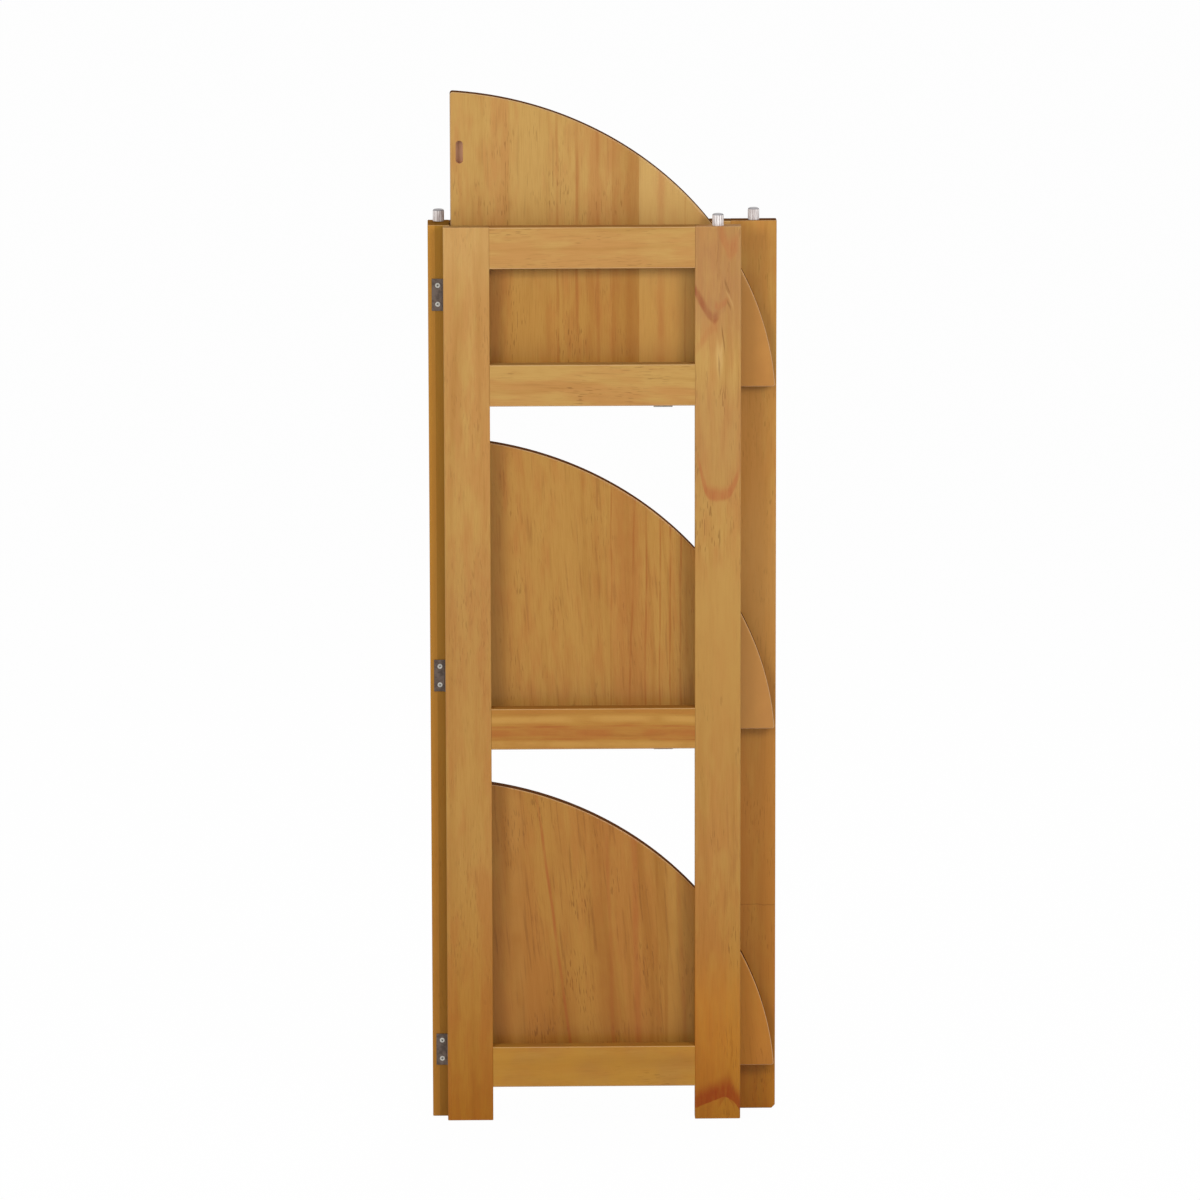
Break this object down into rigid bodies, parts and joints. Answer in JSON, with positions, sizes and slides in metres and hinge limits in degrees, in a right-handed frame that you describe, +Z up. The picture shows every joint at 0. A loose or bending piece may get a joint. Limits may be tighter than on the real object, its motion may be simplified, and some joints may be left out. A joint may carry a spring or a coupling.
{
  "type": "folding corner bookcase",
  "caption": "Folding wooden corner bookcase, folded flat: a ladder frame hinged to a corner post, folding shelves with an elliptical front and stacking dowels on top.",
  "frame": {"origin": "on the floor, under the middle of the folded unit's footprint", "axes": "+Z up, -Y towards the viewer, from the folded front frame's face; +X along the frames, from the corner post to their free edges"},
  "size_m": [0.368, 0.06, 1.1045],
  "materials": {
    "frame_wood": "oiled, satin",
    "shelf_wood": "oiled, satin, edge-glued boards",
    "dowel_wood": "unfinished",
    "hinge_steel": "dulled plating",
    "bracket_steel": "dulled plating",
    "screw_steel": "bright"
  },
  "bodies": {
    "rear_frame": {"corner_post": "frame_wood", "fold_hinge_lower_pin": "hinge_steel", "fold_hinge_lower_post_leaf": "hinge_steel", "fold_hinge_middle_pin": "hinge_steel", "fold_hinge_middle_post_leaf": "hinge_steel", "fold_hinge_post_screws": "screw_steel", "fold_hinge_upper_pin": "hinge_steel", "fold_hinge_upper_post_leaf": "hinge_steel", "rear_rail_lower": "frame_wood", "rear_rail_middle": "frame_wood", "rear_rail_top": "frame_wood", "rear_rail_upper": "frame_wood", "rear_stile": "frame_wood", "shelf_hinge_lower_left_pin": "hinge_steel", "shelf_hinge_lower_left_rail_leaf": "hinge_steel", "shelf_hinge_lower_right_pin": "hinge_steel", "shelf_hinge_lower_right_rail_leaf": "hinge_steel", "shelf_hinge_middle_left_pin": "hinge_steel", "shelf_hinge_middle_left_rail_leaf": "hinge_steel", "shelf_hinge_middle_right_pin": "hinge_steel", "shelf_hinge_middle_right_rail_leaf": "hinge_steel", "shelf_hinge_rail_screws": "screw_steel", "shelf_hinge_upper_left_pin": "hinge_steel", "shelf_hinge_upper_left_rail_leaf": "hinge_steel", "shelf_hinge_upper_right_pin": "hinge_steel", "shelf_hinge_upper_right_rail_leaf": "hinge_steel", "stacking_dowel_post": "dowel_wood", "stacking_dowel_rear": "dowel_wood"},
    "front_frame": {"fold_hinge_frame_screws": "screw_steel", "fold_hinge_lower_frame_leaf": "hinge_steel", "fold_hinge_middle_frame_leaf": "hinge_steel", "fold_hinge_upper_frame_leaf": "hinge_steel", "front_free_stile": "frame_wood", "front_hinge_stile": "frame_wood", "front_rail_lower": "frame_wood", "front_rail_middle": "frame_wood", "front_rail_top": "frame_wood", "front_rail_upper": "frame_wood", "shelf_bracket_lower": "bracket_steel", "shelf_bracket_middle": "bracket_steel", "shelf_bracket_screws": "screw_steel", "shelf_bracket_upper": "bracket_steel", "stacking_dowel_front": "dowel_wood"},
    "lower_shelf": {"shelf_hinge_lower_left_shelf_leaf": "hinge_steel", "shelf_hinge_lower_right_shelf_leaf": "hinge_steel", "shelf_hinge_lower_shelf_screws": "screw_steel", "shelf_lower": "shelf_wood"},
    "middle_shelf": {"shelf_hinge_middle_left_shelf_leaf": "hinge_steel", "shelf_hinge_middle_right_shelf_leaf": "hinge_steel", "shelf_hinge_middle_shelf_screws": "screw_steel", "shelf_middle": "shelf_wood"},
    "upper_shelf": {"shelf_hinge_upper_left_shelf_leaf": "hinge_steel", "shelf_hinge_upper_right_shelf_leaf": "hinge_steel", "shelf_hinge_upper_shelf_screws": "screw_steel", "shelf_upper": "shelf_wood"}
  },
  "joints": [
    {"name": "front_frame_fold", "type": "hinge", "parent": "rear_frame", "child": "front_frame", "pos_m": [-0.1673, -0.012, 0.4825], "axis": [0, 0, -1], "range_deg": [0, 90]},
    {"name": "lower_shelf_fold", "type": "hinge", "parent": "rear_frame", "child": "lower_shelf", "pos_m": [0, 0.0112, 0.0492], "axis": [1, 0, 0], "range_deg": [0, 1.5]},
    {"name": "middle_shelf_fold", "type": "hinge", "parent": "rear_frame", "child": "middle_shelf", "pos_m": [0, 0.0112, 0.4182], "axis": [1, 0, 0], "range_deg": [0, 1.5]},
    {"name": "upper_shelf_fold", "type": "hinge", "parent": "rear_frame", "child": "upper_shelf", "pos_m": [0, 0.0112, 0.7872], "axis": [1, 0, 0], "range_deg": [0, 3]}
  ]
}
